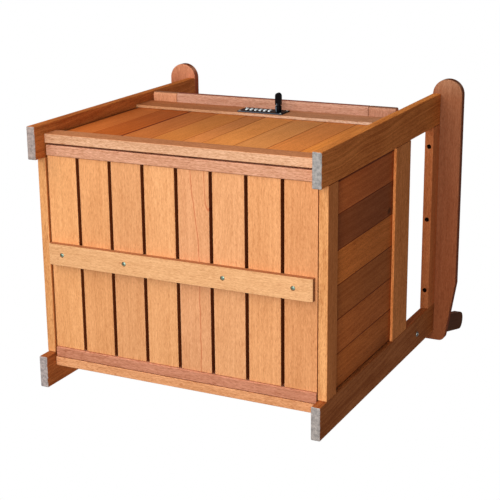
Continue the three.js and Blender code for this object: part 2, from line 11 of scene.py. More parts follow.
import bmesh
import bpy
from mathutils import Matrix, Vector


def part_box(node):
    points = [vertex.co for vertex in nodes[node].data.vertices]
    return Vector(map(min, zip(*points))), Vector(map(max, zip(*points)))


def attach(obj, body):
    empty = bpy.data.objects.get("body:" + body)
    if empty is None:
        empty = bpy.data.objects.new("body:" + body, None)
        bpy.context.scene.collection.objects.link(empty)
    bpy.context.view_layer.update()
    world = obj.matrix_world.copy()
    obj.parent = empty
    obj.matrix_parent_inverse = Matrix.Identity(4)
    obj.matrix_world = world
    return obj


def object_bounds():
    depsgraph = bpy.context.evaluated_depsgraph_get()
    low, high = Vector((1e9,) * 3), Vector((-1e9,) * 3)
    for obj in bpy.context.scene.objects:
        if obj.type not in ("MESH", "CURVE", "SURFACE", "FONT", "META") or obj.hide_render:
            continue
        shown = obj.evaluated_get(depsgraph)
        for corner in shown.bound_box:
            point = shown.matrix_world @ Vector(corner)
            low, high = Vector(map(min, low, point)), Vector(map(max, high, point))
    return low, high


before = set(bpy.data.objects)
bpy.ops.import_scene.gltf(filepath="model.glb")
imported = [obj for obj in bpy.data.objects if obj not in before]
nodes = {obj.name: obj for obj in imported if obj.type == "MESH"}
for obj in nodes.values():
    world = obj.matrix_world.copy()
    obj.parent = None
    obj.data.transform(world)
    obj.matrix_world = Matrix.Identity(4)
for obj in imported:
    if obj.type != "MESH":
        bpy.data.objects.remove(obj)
cad_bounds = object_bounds()

MM = 0.001
LEAN = math.radians(14)  # of the backrest
LEG_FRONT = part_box("front_leg_left")[0].y
SIDES = ("left", "right")

# ---------------------------------------------------------------- colours


def srgb(red, green, blue):
    """A screen colour, 0 to 255, as linear light."""
    def linear(value):
        value /= 255
        return value / 12.92 if value <= 0.04045 else ((value + 0.055) / 1.055) ** 2.4
    return tuple(linear(v) for v in (red, green, blue))


def scaled(colour, factors):
    return tuple(c * f for c, f in zip(colour, factors))


# ---------------------------------------------------------------- material graphs


class Graph:
    """A material's node tree, with short calls for the nodes that the materials below use."""

    def __init__(self, name):
        self.material = bpy.data.materials.new(name)
        self.material.use_nodes = True
        self.tree = self.material.node_tree
        self.shader = self.tree.nodes["Principled BSDF"]
        self.coordinates = self.tree.nodes.new("ShaderNodeTexCoord")

    def feed(self, socket, value):
        """Links another node's output to a socket, or sets the socket's own value."""
        if isinstance(value, bpy.types.NodeSocket):
            self.tree.links.new(value, socket)
        elif value is not None:
            socket.default_value = value

    def math(self, operation, a, b=None, c=None, clamp=False):
        node = self.tree.nodes.new("ShaderNodeMath")
        node.operation = operation
        node.use_clamp = clamp
        for socket, value in zip(node.inputs, (a, b, c)):
            self.feed(socket, value)
        return node.outputs[0]

    def vector(self, x, y, z):
        node = self.tree.nodes.new("ShaderNodeCombineXYZ")
        for socket, value in zip(node.inputs, (x, y, z)):
            self.feed(socket, value)
        return node.outputs[0]

    def stretched(self, parts, *factors):
        """A place with its parts multiplied by one factor, or by three."""
        if len(factors) == 1:
            factors *= 3
        return self.vector(*(self.math("MULTIPLY", p, f) for p, f in zip(parts, factors)))

    def length(self, a, b):
        return self.math("SQRT", self.math("ADD", self.math("MULTIPLY", a, a), self.math("MULTIPLY", b, b)))

    def split(self, vector):
        node = self.tree.nodes.new("ShaderNodeSeparateXYZ")
        self.feed(node.inputs[0], vector)
        return tuple(node.outputs)

    def noise(self, vector, detail, roughness=0.5):
        node = self.tree.nodes.new("ShaderNodeTexNoise")
        self.feed(node.inputs["Vector"], vector)
        node.inputs["Scale"].default_value = 1.0
        node.inputs["Detail"].default_value = detail
        node.inputs["Roughness"].default_value = roughness
        return node.outputs["Fac"]

    def noise_along(self, value, detail, roughness=0.5):
        """Noise of one number."""
        node = self.tree.nodes.new("ShaderNodeTexNoise")
        node.noise_dimensions = "1D"
        self.feed(node.inputs["W"], value)
        node.inputs["Scale"].default_value = 1.0
        node.inputs["Detail"].default_value = detail
        node.inputs["Roughness"].default_value = roughness
        return node.outputs["Fac"]

    def remap(self, value, low, high, new_low=0.0, new_high=1.0):
        """A smooth step from new_low at low to new_high at high."""
        node = self.tree.nodes.new("ShaderNodeMapRange")
        node.interpolation_type = "SMOOTHSTEP"
        for socket, number in zip(node.inputs[:5], (value, low, high, new_low, new_high)):
            self.feed(socket, number)
        return node.outputs[0]

    def mix(self, factor, a, b, blend="MIX"):
        node = self.tree.nodes.new("ShaderNodeMix")
        node.data_type = "RGBA"
        node.blend_type = blend
        self.feed(node.inputs["Factor"], factor)
        self.feed(node.inputs[6], a if isinstance(a, bpy.types.NodeSocket) else (*a, 1))
        self.feed(node.inputs[7], b if isinstance(b, bpy.types.NodeSocket) else (*b, 1))
        return node.outputs[2]

    def tinted(self, colour, factors):
        return self.mix(1.0, colour, factors, "MULTIPLY")

    def steps(self, factor, colours):
        """One of the colours, in equal steps of factor from 0 to 1."""
        node = self.tree.nodes.new("ShaderNodeValToRGB")
        ramp = node.color_ramp
        ramp.interpolation = "CONSTANT"
        while len(ramp.elements) < len(colours):
            ramp.elements.new(1.0)
        for i, colour in enumerate(colours):
            ramp.elements[i].position = i / len(colours)
            ramp.elements[i].color = (*colour, 1)
        self.feed(node.inputs[0], factor)
        return node.outputs[0]

    def turned(self, place, centre, angle):
        """The place turned by that angle about the line through centre along X."""
        node = self.tree.nodes.new("ShaderNodeVectorRotate")
        node.rotation_type = "X_AXIS"
        node.inputs["Center"].default_value = centre
        node.inputs["Angle"].default_value = angle
        self.feed(node.inputs["Vector"], place)
        return node.outputs[0]

    def bump(self, height, distance, strength):
        node = self.tree.nodes.new("ShaderNodeBump")
        node.inputs["Strength"].default_value = strength
        node.inputs["Distance"].default_value = distance
        self.feed(node.inputs["Height"], height)
        self.feed(self.shader.inputs["Normal"], node.outputs[0])


# ---------------------------------------------------------------- wood

# what each thing does to the board's own colour
SHADE = (0.73, 0.60, 0.48)  # the dark grain
GLOW = (1.20, 1.22, 1.24)  # the light grain
PORE = (0.46, 0.18, 0.08)
VEIN = (0.72, 0.36, 0.28)
KNOT = (0.18, 0.16, 0.16)
END_GRAIN = (0.42, 0.33, 0.27)
# painted shade on the walls of bored holes
HOLE_SHADE = (0.06, 0.05, 0.04)
# painted shade along a panel's edges next to the legs
PANEL_CORNER_SHADE = (0.10, 0.06, 0.04)
OPENED_JOINT = (0.26, 0.08, 0.05)

SEALER_DARK = srgb(134, 132, 130)
SEALER_LIGHT = srgb(182, 177, 172)
RINGS_PER_METRE = 190.0
SEED_STEP = 3.7  # takes the noise of one piece away from that of the next
BOARD_STEP = 7.31  # the same for the boards of one panel


class Panel(NamedTuple):
    """Several boards that one CAD node stands for."""
    edge: float  # where the first board begins
    pitch: float
    tones: tuple  # each board's own tint
    joint: tuple  # what a joint does to the colour
    mirrored: bool = False  # the boards run from both edges to a middle one
    opened: float | None = None  # the place of a joint that has opened


def board_places(g, panel, place):
    """How far a place is from the panel's edge, its board's number, and its place on that board."""
    if panel.mirrored:
        distance = g.math("SUBTRACT", panel.edge, g.math("ABSOLUTE", place))
    else:
        distance = g.math("SUBTRACT", place, panel.edge)
    index = g.math("FLOOR", g.math("DIVIDE", distance, panel.pitch))
    centre = g.math("MULTIPLY", g.math("ADD", index, 0.5), panel.pitch)
    if panel.mirrored:
        half = len(panel.tones) // 2
        right = g.math("GREATER_THAN", place, 0.0)
        outer = g.math("SUBTRACT", 1.0, g.math("GREATER_THAN", index, half - 0.5))
        change = g.math("SUBTRACT", 2.0 * half, g.math("MULTIPLY", index, 2.0))
        index = g.math("ADD", index, g.math("MULTIPLY", g.math("MULTIPLY", right, change), outer))
    return distance, index, g.math("SUBTRACT", distance, centre)


def panel_tint(g, panel, tint, colour, place, distance, index, across):
    """The tones of the boards, the joints between them and the shade in the panel's corners."""
    share = g.math("DIVIDE", g.math("ADD", index, 0.5), len(panel.tones))
    tint = g.tinted(tint, g.steps(share, panel.tones))
    from_joint = g.math("SUBTRACT", panel.pitch / 2, g.math("ABSOLUTE", across))
    joint = g.remap(from_joint, 0.5 * MM, 1.3 * MM, 1.0, 0.0)
    seam = scaled(colour, panel.joint)
    if panel.opened is not None:
        opened = g.math("ABSOLUTE", g.math("SUBTRACT", place, panel.opened))
        opened = g.remap(opened, 10 * MM, 20 * MM, 1.0, 0.0)
        wide = g.remap(from_joint, 1.5 * MM, 3.4 * MM, 1.0, 0.0)
        joint = g.math("MAXIMUM", joint, g.math("MULTIPLY", opened, wide))
        seam = g.mix(opened, seam, scaled(colour, OPENED_JOINT))
    tint = g.mix(joint, tint, seam)
    # painted shade along the panel's edges where they meet the legs
    corner = g.remap(distance, 5 * MM, 8.5 * MM, 0.8, 0.0)
    return g.mix(corner, tint, scaled(colour, PANEL_CORNER_SHADE))


LOOP_CENTRE = 31 * MM  # across the board
LOOP_HALF_WIDTH = 8 * MM
LOOP_LENGTH = 77 * MM


def veins(g, along, across, length):
    """Two thin lines: one wanders down the board, the other makes a narrow loop at its front edge."""
    run = g.math("ADD", along, length / 2)
    sway = g.math("MULTIPLY_ADD", g.noise_along(g.math("MULTIPLY", run, 22.0), 2.0), 5 * MM, -2.5 * MM)
    centre = g.math("ADD", g.remap(run, 0.0, 170 * MM, -6 * MM, 10 * MM), sway)
    line = g.math("ABSOLUTE", g.math("SUBTRACT", across, centre))
    line = g.remap(line, 0.3 * MM, 1.3 * MM, 1.0, 0.0)
    aside = g.math("SUBTRACT", LOOP_CENTRE, g.math("ADD", across, sway))
    side = g.math("DIVIDE", aside, LOOP_HALF_WIDTH)
    tip = g.math("DIVIDE", run, LOOP_LENGTH)
    ring = g.math("ADD", g.math("MULTIPLY", side, side), g.math("POWER", tip, 4.0))
    loop = g.remap(g.math("ABSOLUTE", g.math("SUBTRACT", ring, 1.0)), 0.05, 0.26, 0.9, 0.0)
    return g.math("MULTIPLY", g.math("MAXIMUM", line, loop), 0.8)


def knot_shade(g, parts, axes, knot):
    """A small ragged knot, a little drawn out along the grain."""
    down = g.math("MULTIPLY", g.math("SUBTRACT", parts[axes[0]], knot[0]), 0.7)
    aside = g.math("SUBTRACT", parts[axes[1]], knot[1])
    ragged = g.math("MULTIPLY_ADD", g.noise(g.stretched(parts, 160.0), 3.0), 8 * MM, -4 * MM)
    return g.remap(g.math("ADD", g.length(down, aside), ragged), 3 * MM, 10 * MM, 0.95, 0.0)


def sealed_end(g, parts):
    """Where the grey sealer at the floor is, up to a smeared line, and its blotchy colour."""
    smear = g.noise(g.stretched(parts, 90.0), 3.0)
    line = g.math("MULTIPLY_ADD", smear, 3.2 * MM, -0.4 * MM)
    sealed = g.math("MULTIPLY", g.math("SUBTRACT", line, parts[2]), 1 / (0.5 * MM), clamp=True)
    blotch = g.noise(g.stretched(parts, 170.0), 4.0, 0.65)
    return sealed, g.mix(g.remap(blotch, 0.3, 0.7), SEALER_DARK, SEALER_LIGHT)


def wood(name, order, colour, seed, pith=(0.16, 0.06), slope=0.0, tilt=0.0, contrast=1.0, fine=1.0,
         panel=None, knot=None, veined=False, drift=None, edge=None, bored=False, feet=None):
    """Hardwood for the CAD node of that name.

    order is the axes along the grain, across the board and through it. pith is how far the middle of
    the tree is from the board's own middle, across and through. slope tilts the board in the tree, which
    draws arches, and tilt turns the grain about X. contrast and fine are the strength of the broad and
    of the fine grain. knot is the place of a small knot, along and across. veined draws two thin red
    lines. drift is what the distance from the low end does to the colour. edge multiplies painted light
    and shade into the narrow faces, bored paints shade on the walls of the holes along the middle, and
    feet tints the grey of the sealed end at the floor.
    """
    g = Graph(name)
    low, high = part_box(name)
    middle = (low + high) / 2
    place = g.coordinates.outputs["Object"]
    if tilt:
        place = g.turned(place, middle, tilt)
    axes = ["xyz".index(letter) for letter in order]
    length = (high - low)[axes[0]]
    parts = g.split(place)
    along, across, through = (g.math("SUBTRACT", parts[i], middle[i]) for i in axes)
    shift = SEED_STEP * seed + 11.0
    if panel:
        distance, index, across = board_places(g, panel, parts[axes[1]])
        board_seed = g.math("MULTIPLY", index, BOARD_STEP)
        along = g.math("ADD", along, board_seed)
        through = g.math("ADD", through, g.math("MULTIPLY", g.math("SINE", board_seed), 0.03))

    def streaks(length, width, detail, roughness=0.6):
        """Noise drawn out along the grain; length and width are about the size of its marks."""
        return g.noise(g.vector(g.math("MULTIPLY_ADD", along, 1 / length, shift),
                                g.math("MULTIPLY", across, 1 / width),
                                g.math("MULTIPLY", through, 1 / width)), detail, roughness)

    def centred(value, gain):
        return g.math("MULTIPLY_ADD", value, gain, -gain / 2)

    wobble = g.math("MULTIPLY_ADD", streaks(1 / 2.4, 1 / 3, 2.0, 0.5), 0.03, -0.015)
    a = g.math("ADD", g.math("ADD", across, pith[0]), wobble)
    b = g.math("ADD", g.math("MULTIPLY_ADD", along, slope, pith[1]), g.math("ADD", through, wobble))
    rings = g.noise_along(g.math("MULTIPLY_ADD", g.length(a, b), RINGS_PER_METRE, shift), 2.5, 0.6)
    fibre = streaks(30 * MM, 2.2 * MM, 3.0)
    figure = streaks(130 * MM, 26 * MM, 2.0, 0.5)
    speckle = streaks(6 * MM, 1.4 * MM, 2.0, 0.7)
    pores = g.remap(streaks(11 * MM, 0.9 * MM, 1.0), 0.60, 0.72)
    grain = g.math("ADD", centred(rings, 0.55 * contrast), centred(fibre, 0.6 * fine))
    grain = g.math("ADD", grain, centred(figure, 0.6 * contrast))
    grain = g.math("ADD", grain, centred(speckle, 1.1 * fine))
    grain = g.math("ADD", grain, 0.5, clamp=True)
    rough = g.math("MULTIPLY_ADD", grain, -0.14, 0.7)
    tint = g.mix(grain, scaled(colour, SHADE), scaled(colour, GLOW))

    if drift:
        run = g.math("ADD", along, length / 2)
        change = drift[0][1]
        for (start, _), (end, factors) in zip(drift, drift[1:]):
            change = g.mix(g.remap(run, start, end), change, factors)
        tint = g.tinted(tint, change)
    if panel:
        tint = panel_tint(g, panel, tint, colour, parts[axes[1]], distance, index, across)
    if knot:
        tint = g.mix(knot_shade(g, parts, axes, knot), tint, scaled(colour, KNOT))
    tint = g.mix(g.math("MULTIPLY", pores, 0.4 * fine), tint, scaled(colour, PORE))
    if veined:
        tint = g.mix(veins(g, along, across, length), tint, scaled(colour, VEIN))

    facing = g.split(g.coordinates.outputs["Normal"])
    ends, narrow_faces = (g.math("ABSOLUTE", facing[axis]) for axis in axes[:2])
    tint = g.mix(g.remap(ends, 0.6, 0.95), tint, scaled(colour, END_GRAIN))
    # painted light and shade: the narrow faces made paler or darker for the way they face the lamps
    if edge:
        tint = g.mix(g.remap(narrow_faces, 0.8, 0.95), tint, edge, "MULTIPLY")
    # painted shade on the walls of the holes along the middle
    if bored:
        wall = g.remap(narrow_faces, 0.3, 0.6, 1.0, 0.0)
        near = g.remap(g.math("ABSOLUTE", through), 5.2 * MM, 5.8 * MM, 1.0, 0.0)
        tint = g.mix(g.math("MULTIPLY", wall, near), tint, scaled(colour, HOLE_SHADE))
    if feet:
        sealed, grey = sealed_end(g, parts)
        tint = g.mix(sealed, tint, g.tinted(grey, feet))
        rough = g.math("MULTIPLY_ADD", sealed, 0.2, rough)

    g.feed(g.shader.inputs["Base Color"], tint)
    g.feed(g.shader.inputs["Roughness"], rough)
    g.shader.inputs["Specular IOR Level"].default_value = 0.12
    relief = g.math("ADD", g.math("MULTIPLY", fibre, 0.9), g.math("MULTIPLY", rings, 0.5))
    g.bump(g.math("SUBTRACT", relief, pores), 0.25 * MM, 0.45)
    return g.material


# ---------------------------------------------------------------- metal


def metal(name, colour, roughness, metallic, mottle=0.25, brushed=None, specular=0.5, sheen_side=None):
    """Metal or lacquered metal with a faint mottle.

    brushed is the axis of its fine scratches, and sheen_side the direction of the faces that get a painted
    sheen and the colour of that sheen.
    """
    g = Graph(name)
    parts = g.split(g.coordinates.outputs["Object"])
    scales = [1600.0] * 3
    if brushed:
        scales["xyz".index(brushed)] = 40.0
    scratch = g.noise(g.stretched(parts, *scales), 2.0)
    cloud = g.noise(g.stretched(parts, 130.0), 4.0, 0.6)
    worn = g.math("MULTIPLY", g.math("ADD", scratch, cloud), 0.5)
    dark, light = scaled(colour, (1 - mottle,) * 3), scaled(colour, (1 + mottle,) * 3)
    tint = g.mix(g.remap(worn, 0.3, 0.7), dark, light)
    # painted sheen: faces turned that way get a paler colour that stands for a highlight
    if sheen_side:
        direction, sheen_colour = sheen_side
        facing = g.split(g.coordinates.outputs["Normal"])
        terms = [g.math("MULTIPLY", n, d) for n, d in zip(facing, direction)]
        towards = g.math("ADD", g.math("ADD", terms[0], terms[1]), terms[2])
        tint = g.mix(g.remap(towards, 0.70, 0.85), tint, sheen_colour)
    g.feed(g.shader.inputs["Base Color"], tint)
    g.feed(g.shader.inputs["Roughness"], g.math("MULTIPLY_ADD", worn, 0.2, roughness - 0.1))
    g.shader.inputs["Metallic"].default_value = metallic
    g.shader.inputs["Specular IOR Level"].default_value = specular
    g.bump(scratch, 0.04 * MM, 0.35)
    return g.material


# ---------------------------------------------------------------- the CAD pieces

# the woods' colours; many are lighter or darker copies of one wood, with painted light and shade for the
# way each piece faces the lamps
SLAT = srgb(241, 174, 118)
BATTEN = srgb(239, 186, 135)
SIDE_RAIL = srgb(211, 130, 72)
FRONT_RAIL = srgb(209, 138, 91)
REAR_RAIL = srgb(233, 168, 120)
TOP_RAIL = srgb(185, 127, 89)
FRONT_CLEAT = srgb(221, 166, 136)
REAR_CLEAT = srgb(208, 142, 113)
BOARDS = srgb(224, 138, 70)
# painted shade: the side panels get a darker, redder copy of the front boards' wood
SIDE_BOARDS_SHADED = srgb(197, 110, 54)
LEG_FRONT_LEFT = srgb(197, 115, 57)
LEG_FRONT_RIGHT = srgb(208, 122, 58)
LEG_REAR = srgb(173, 101, 52)
SEAT_RAIL = srgb(219, 136, 75)
ARM_RAIL = srgb(216, 130, 78)
# painted shade: both armrest colours are darkened copies of one wood, for the shade under the arms, the
# right one more
ARMREST_LEFT_SHADED = srgb(190, 114, 78)
ARMREST_RIGHT_SHADED = srgb(166, 103, 67)
LID_BOARD = srgb(200, 153, 131)
LID_STILE_LEFT = srgb(213, 153, 117)
LID_STILE_RIGHT = srgb(192, 141, 116)
HINGE_BOARD = srgb(196, 142, 114)
LEDGER = srgb(206, 130, 80)
# painted shade: the posts get a darker copy of the backrest's wood
BACKREST_POST_SHADED = srgb(104, 62, 38)
BACKREST = srgb(158, 98, 60)

# painted light and shade on the narrow faces, multiplied into a piece's colour: the undersides of the
# bottom, top and seat rails are painted paler, as if lit more; the arm rails' undersides and the other
# narrow faces get painted shade
SIDE_RAIL_UNDER_LIGHT = (1.25, 1.76, 2.36)
FRONT_RAIL_UNDER_LIGHT = (1.18, 1.74, 2.58)
TOP_RAIL_UNDER_LIGHT = (1.30, 2.06, 3.0)
SEAT_RAIL_UNDER_LIGHT = (1.33, 1.44, 1.55)
ARM_RAIL_UNDER_SHADE = (0.68, 0.75, 0.78)
BATTEN_EDGE_SHADE = (0.50, 0.36, 0.30)
LID_EDGE_SHADE = (0.50, 0.25, 0.20)
ARMREST_EDGE_SHADE = (0.70, 0.50, 0.45)
GAP_SHADE = (0.30, 0.14, 0.08)

# what a place along the piece, from its low end, does to the colour
TOP_RAIL_DRIFT = ((0.0, (0.92, 0.72, 0.52)), (560 * MM, (1.15, 1.24, 1.38)))
# painted light: the armrests' front tips are painted brighter, as if lit more; further back the colour
# drifts along the arm
ARMREST_TIP_LIGHT_DRIFT = {
    "left": ((0.0, (1.37, 1.77, 2.2)), (60 * MM, (1.05, 1.05, 1.1)), (574 * MM, (1.0, 0.92, 0.85))),
    "right": ((0.0, (1.14, 1.50, 1.95)), (45 * MM, (0.87, 0.90, 0.98)), (574 * MM, (0.92, 0.80, 0.72))),
}

BOARD_PITCH = 65.4 * MM
FRONT_JOINT = (0.52, 0.26, 0.17)
SIDE_JOINT = (0.34, 0.20, 0.14)
FRONT_TONES = (
    (0.88, 0.70, 0.55), (0.72, 0.48, 0.27), (0.87, 0.77, 0.72), (0.97, 0.99, 0.88), (1.02, 1.07, 1.2),
    (1.14, 1.25, 1.24), (1.07, 1.25, 1.45), (1.06, 1.07, 1.05), (1.18, 1.22, 0.96),
)  # from left to right
SIDE_TONES = (
    (0.99, 0.92, 0.95), (0.60, 0.58, 0.68), (1.25, 1.3, 1.1), (0.86, 0.9, 0.9), (1.05, 1.05, 1.0),
    (1.04, 1.04, 0.9),
)  # from front to rear
KNOT_HEIGHT = 353 * MM
KNOT_BOARDS = 1.86  # from the front of a side panel
SLAT_TONES = (
    (1.05, 1.09, 1.08), (0.97, 0.98, 0.98), (0.93, 0.95, 1), (1, 1.05, 1.1), (0.94, 0.97, 1.12),
    (0.98, 1.03, 1.14), (0.97, 0.98, 1.01), (0.91, 0.88, 0.89),
)
VEINED_SLAT = 5

MERGE_DISTANCE = 0.002 * MM
FLAT_ANGLE = math.radians(0.5)
EDGE_ANGLE = math.radians(38)
ROUNDING = 1.8 * MM


def finish_piece(name, material, bevel, segments):
    """Gives a CAD node its material and rounds its edges."""
    piece = nodes[name]
    piece.data.materials.clear()
    piece.data.materials.append(material)
    weld = piece.modifiers.new("Weld", "WELD")
    weld.merge_threshold = MERGE_DISTANCE
    flat = piece.modifiers.new("Flat faces", "DECIMATE")
    flat.decimate_type = "DISSOLVE"
    flat.angle_limit = FLAT_ANGLE
    if bevel:
        rounding = piece.modifiers.new("Bevel", "BEVEL")
        rounding.width = bevel
        rounding.segments = segments
        rounding.limit_method = "ANGLE"
        rounding.angle_limit = EDGE_ANGLE
    piece.modifiers.new("Normals", "WEIGHTED_NORMAL")


def dress(name, order, colour, seed, bevel=ROUNDING, segments=3, **grain):
    """Finishes a CAD node in wood; grain is passed on to wood()."""
    finish_piece(name, wood(name, order, colour, seed, **grain), bevel, segments)


def dress_frame():
    # each leg's colour, the painted light and shade on its front and rear faces, and the tint of its sealed
    # end
    legs = {
        "front_leg_left": (LEG_FRONT_LEFT, (1.02, 0.96, 0.74), (1.10, 0.93, 0.90)),
        "front_leg_right": (LEG_FRONT_RIGHT, (1.22, 1.35, 1.20), (1.0, 1.0, 1.02)),
        "rear_leg_left": (LEG_REAR, None, (1.20, 1.08, 1.10)),
        "rear_leg_right": (LEG_REAR, None, (1.12, 1.06, 1.06)),
    }
    for seed, (name, (colour, edge, foot)) in enumerate(legs.items()):
        dress(name, "zyx", colour, seed, pith=(0.10, 0.05), slope=0.06, contrast=2.8, fine=1.6, edge=edge,
              feet=foot)
    # each rail's colour, the painted light on its top and underside, and how its colour drifts
    cross_rails = {
        "front_bottom_rail": (FRONT_RAIL, FRONT_RAIL_UNDER_LIGHT, None),
        "rear_bottom_rail": (REAR_RAIL, None, None),
        "front_top_rail": (TOP_RAIL, TOP_RAIL_UNDER_LIGHT, TOP_RAIL_DRIFT),
        "rear_top_rail": (TOP_RAIL, TOP_RAIL_UNDER_LIGHT, None),
    }
    for seed, (name, (colour, edge, drift)) in enumerate(cross_rails.items(), 5):
        dress(name, "xzy", colour, seed, contrast=1.3, fine=1.8, edge=edge, drift=drift)
    for seed, side in enumerate(SIDES, 10):
        armrest = ARMREST_LEFT_SHADED if side == "left" else ARMREST_RIGHT_SHADED
        dress(f"side_bottom_rail_{side}", "yzx", SIDE_RAIL, seed, contrast=1.3, fine=1.5,
              edge=SIDE_RAIL_UNDER_LIGHT)
        dress(f"seat_rail_{side}", "yzx", SEAT_RAIL, seed + 2, slope=0.03, contrast=1.5, fine=2.2,
              edge=SEAT_RAIL_UNDER_LIGHT)
        dress(f"arm_rail_{side}", "yzx", ARM_RAIL, seed + 4, 1.2 * MM, fine=1.8, edge=ARM_RAIL_UNDER_SHADE,
              bored=True)
        dress(f"lid_ledger_{side}", "yzx", LEDGER, seed + 6)
        dress(f"armrest_{side}", "yxz", armrest, seed + 8, 2 * MM, 4, slope=0.04, fine=1.4,
              edge=ARMREST_EDGE_SHADE, drift=ARMREST_TIP_LIGHT_DRIFT[side])


def dress_panels():
    low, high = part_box("front_leg_right")
    front = Panel(low.x, BOARD_PITCH, FRONT_TONES, FRONT_JOINT, mirrored=True,
                  opened=2 * BOARD_PITCH - low.x)
    for seed, name in enumerate(("front_panel", "rear_panel"), 30):
        dress(name, "zxy", BOARDS, seed, 0, fine=0.9, panel=front)
    side_boards = Panel(high.y, BOARD_PITCH, SIDE_TONES, SIDE_JOINT)
    knot = (KNOT_HEIGHT, high.y + KNOT_BOARDS * BOARD_PITCH)
    for seed, side in enumerate(SIDES, 33):
        dress(f"side_panel_{side}", "zyx", SIDE_BOARDS_SHADED, seed, 0, contrast=1.4, fine=1.3, knot=knot,
              panel=side_boards)


def dress_floor():
    dress("front_floor_cleat", "xyz", FRONT_CLEAT, 40, fine=1.8)
    dress("rear_floor_cleat", "xyz", REAR_CLEAT, 41, fine=1.8)
    for i, tone in enumerate(SLAT_TONES, 1):
        dress(f"floor_slat_{i}", "yxz", scaled(SLAT, tone), 50 + i, 1.2 * MM, pith=(0.12 + 0.01 * i, 0.05),
              slope=0.01, contrast=0.8, fine=1.15, edge=GAP_SHADE, veined=i == VEINED_SLAT)
    dress("floor_batten", "xyz", BATTEN, 60, 1.0 * MM, contrast=0.7, fine=1.2, edge=BATTEN_EDGE_SHADE)


def dress_lid():
    dress("lid_stile_left", "yxz", LID_STILE_LEFT, 70, fine=1.6)
    dress("lid_stile_right", "yxz", LID_STILE_RIGHT, 71, fine=1.6)
    for i in range(1, 6):
        dress(f"lid_board_{i}", "xyz", LID_BOARD, 72 + i, fine=1.6, edge=LID_EDGE_SHADE if i == 1 else None)
    dress("hinge_board", "xyz", HINGE_BOARD, 79)


def dress_backrest():
    for seed, side in enumerate(SIDES, 80):
        dress(f"backrest_post_{side}", "zyx", BACKREST_POST_SHADED, seed, tilt=LEAN)
    dress("backrest_top_rail", "xzy", BACKREST, 83)
    dress("backrest_bottom_rail", "xzy", BACKREST, 84)
    for i in range(1, 4):
        dress(f"backrest_slat_{i}", "zxy", BACKREST, 86 + i, tilt=LEAN, slope=0.04)


HINGE_STEEL = metal("hinge_steel", (0.60, 0.58, 0.54), 0.38, 0.5, brushed="x")
STRIKE_STEEL = metal("strike_steel", (0.48, 0.50, 0.51), 0.34, 0.6, brushed="x")
# painted reflection: the steel wheels get a pale, barely metallic colour that stands for the bright room
# they mirror
WHEEL_PAINTED_GLEAM = metal("wheel_bright", (0.86, 0.93, 0.96), 0.32, 0.15, mottle=0.12, brushed="x")
# painted sheen on the plate's underside and on the lever's left edge
PLATE_BLACK = metal("plate_lacquer", (0.003, 0.005, 0.009), 0.45, 0.0, mottle=0.4, specular=0.10,
                    sheen_side=((0, 0, -1), (0.075, 0.095, 0.125)))
LEVER_BLACK = metal("lever_lacquer", (0.002, 0.003, 0.005), 0.35, 0.0, mottle=0.4, specular=0.12,
                    sheen_side=((-0.77, 0, -0.64), (0.10, 0.14, 0.18)))
# partly painted reflection: pale and only half metallic, so that the heads look bright
ZINC = metal("zinc_screw", (0.52, 0.58, 0.54), 0.34, 0.5, mottle=0.4)
# painted highlight on the middle of the plated screws' heads
PLATED = metal("plated_screw", (0.13, 0.15, 0.13), 0.36, 0.4, mottle=0.4,
               sheen_side=((0, 0, 1), (0.40, 0.58, 0.46)))
BOLT_STEEL = metal("bolt_steel", (0.25, 0.26, 0.25), 0.34, 0.5, mottle=0.5)
DARK_SCREW = metal("dark_screw", (0.05, 0.05, 0.048), 0.42, 1.0, mottle=0.35)
NUMERAL = metal("numeral_enamel", (0.02, 0.02, 0.022), 0.5, 0.0, mottle=0.3, specular=0.3)


def dress_metal():
    for name in ("hinge_fixed_leaf", "hinge_lid_leaf"):
        finish_piece(name, HINGE_STEEL, 0.3 * MM, 2)
    for name in ("lock_cam", "lid_strike"):
        finish_piece(name, STRIKE_STEEL, 0.4 * MM, 2)
    for i in range(1, 7):
        finish_piece(f"number_wheel_{i}", WHEEL_PAINTED_GLEAM, 0.4 * MM, 2)
    finish_piece("lock_body", PLATE_BLACK, 0.5 * MM, 2)
    finish_piece("thumb_turn", LEVER_BLACK, 1.8 * MM, 4)


# ---------------------------------------------------------------- screws, bolts and numerals


def cross(radius):
    """The recess of a cross-head screw."""
    def sink(x, y):
        inside = min(abs(x), abs(y)) < 0.17 * radius and max(abs(x), abs(y)) < 0.62 * radius
        return 0.34 * radius if inside else 0.0
    return sink


def socket(radius):
    """A hexagon socket."""
    def sink(x, y):
        reach = max(abs(x * math.cos(a) + y * math.sin(a)) for a in (0, math.pi / 3, 2 * math.pi / 3))
        return 0.5 * radius if reach < 0.45 * radius else 0.0
    return sink


